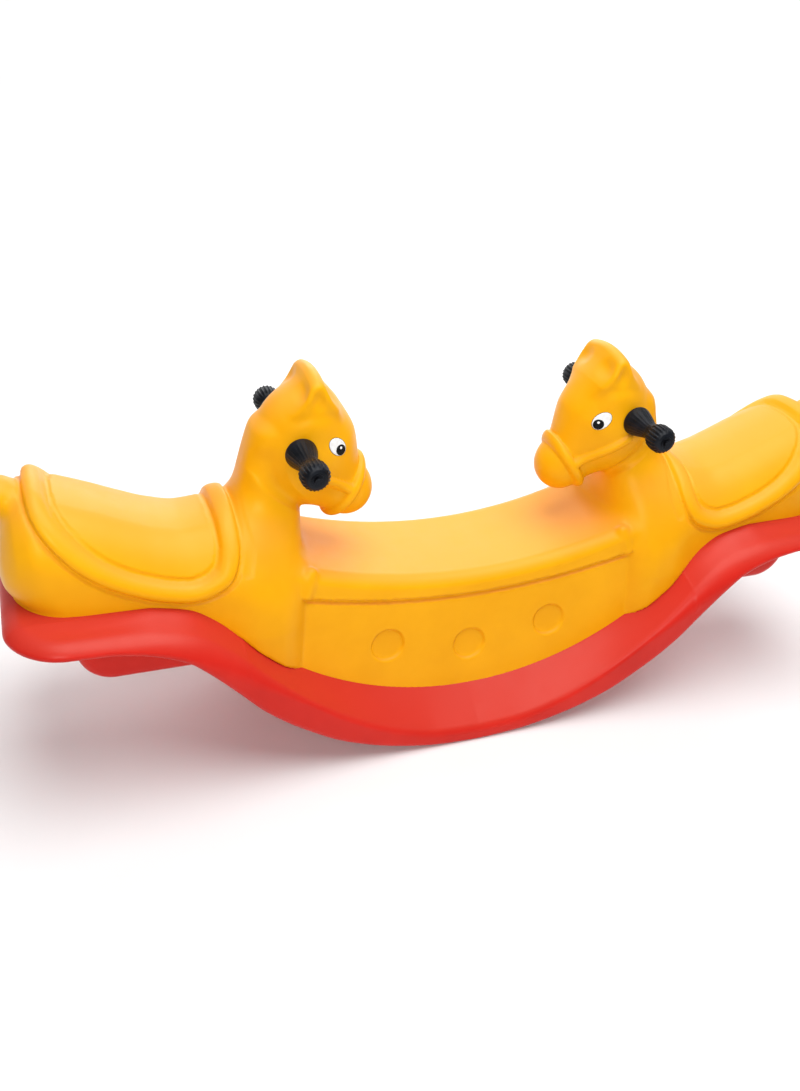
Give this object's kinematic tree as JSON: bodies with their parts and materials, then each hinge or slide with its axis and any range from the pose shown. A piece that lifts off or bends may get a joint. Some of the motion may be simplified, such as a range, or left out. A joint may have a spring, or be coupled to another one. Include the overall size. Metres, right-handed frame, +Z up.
{
  "type": "seesaw",
  "caption": "Two-seat rocking seesaw: a hollow moulded pair of facing ponies joined by a bench, on a curved hollow rocker base, with a ribbed hand grip on each side of each head.",
  "frame": {"origin": "on the floor, under the middle of the rocker", "axes": "+X along the seesaw from one pony to the other, +Y across it, +Z up"},
  "size_m": [1.212, 0.32, 0.513],
  "materials": {
    "yellow_shell": "glossy moulded polyethylene, solid warm yellow",
    "red_shell": "glossy moulded polyethylene, solid red",
    "grip_rubber": "black soft plastic with moulded ribs",
    "bar_steel": "drawn round bar",
    "plated_steel": "zinc-plated",
    "insert_brass": "machined",
    "eye_white": "printed film, white with a thin dark edge",
    "eye_black": "printed film, black",
    "plug_plastic": "moulded push-in plug"
  },
  "bodies": {
    "root": {"pony_body": "yellow_shell", "rocker_base": "red_shell", "handlebar_left": "bar_steel", "handlebar_right": "bar_steel", "grip_left_near": "grip_rubber", "grip_left_far": "grip_rubber", "grip_right_near": "grip_rubber", "grip_right_far": "grip_rubber", "grip_screws": "plated_steel", "grip_washers": "plated_steel", "eye_white_left_near": "eye_white", "eye_white_left_far": "eye_white", "eye_white_right_near": "eye_white", "eye_white_right_far": "eye_white", "eye_pupil_left_near": "eye_black", "eye_pupil_left_far": "eye_black", "eye_pupil_right_near": "eye_black", "eye_pupil_right_far": "eye_black", "base_bolts": "plated_steel", "base_washers": "plated_steel", "thread_inserts": "insert_brass", "vent_plugs": "plug_plastic"}
  },
  "joints": []
}
